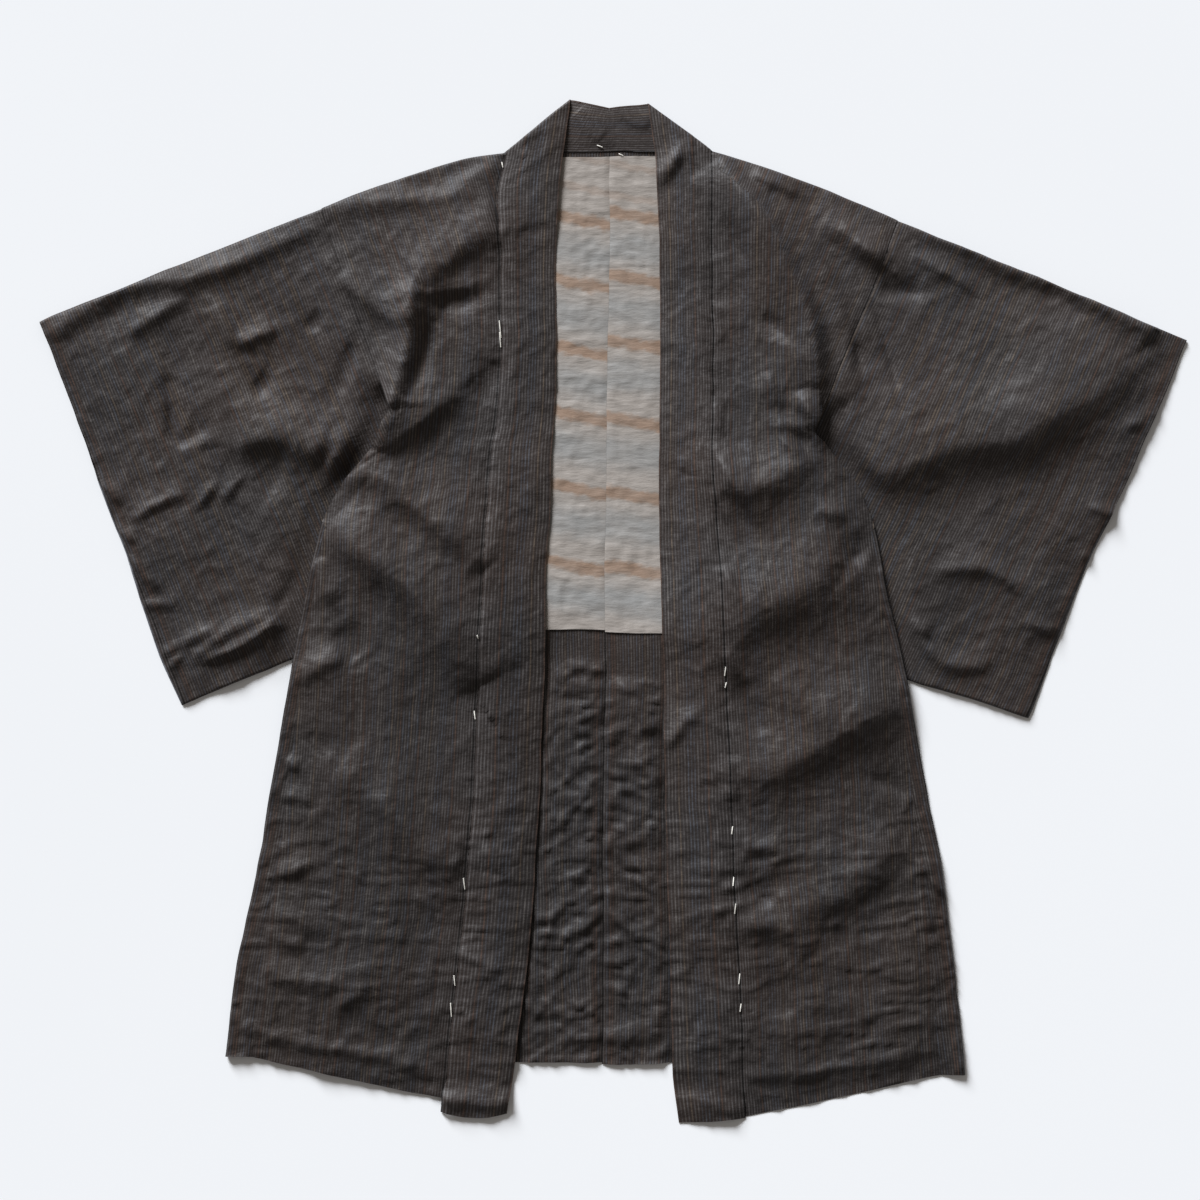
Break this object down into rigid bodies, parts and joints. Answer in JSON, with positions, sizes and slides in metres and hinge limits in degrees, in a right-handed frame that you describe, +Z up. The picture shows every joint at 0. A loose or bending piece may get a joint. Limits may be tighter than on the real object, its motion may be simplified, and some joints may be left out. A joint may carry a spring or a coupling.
{
  "type": "haori jacket, laid flat",
  "caption": "Open kimono-style jacket with wide bag sleeves, laid flat: pinstriped dark silk, doubled collar band turned at the neck, pale banded lining over the upper back.",
  "frame": {"origin": "on the surface the jacket lies on, under the middle of its outline", "axes": "+X towards the wearer's left sleeve, +Y from the hem to the collar, +Z up from the surface"},
  "size_m": [1.2164, 1.0838, 0.0251],
  "materials": {
    "striped_silk": "fine grey warp pinstripes on charcoal brown, soft silk sheen",
    "banded_lining": "pale beige silk with wavy tan bands and blue-grey patches, matt",
    "basting_thread": "white cotton thread, matt"
  },
  "bodies": {
    "root": {"body_right": "striped_silk", "body_left": "striped_silk", "sleeve_right": "striped_silk", "sleeve_left": "striped_silk", "gusset_right": "striped_silk", "gusset_left": "striped_silk", "collar_right": "striped_silk", "collar_left": "striped_silk", "lining_right": "banded_lining", "lining_left": "banded_lining"}
  },
  "joints": []
}
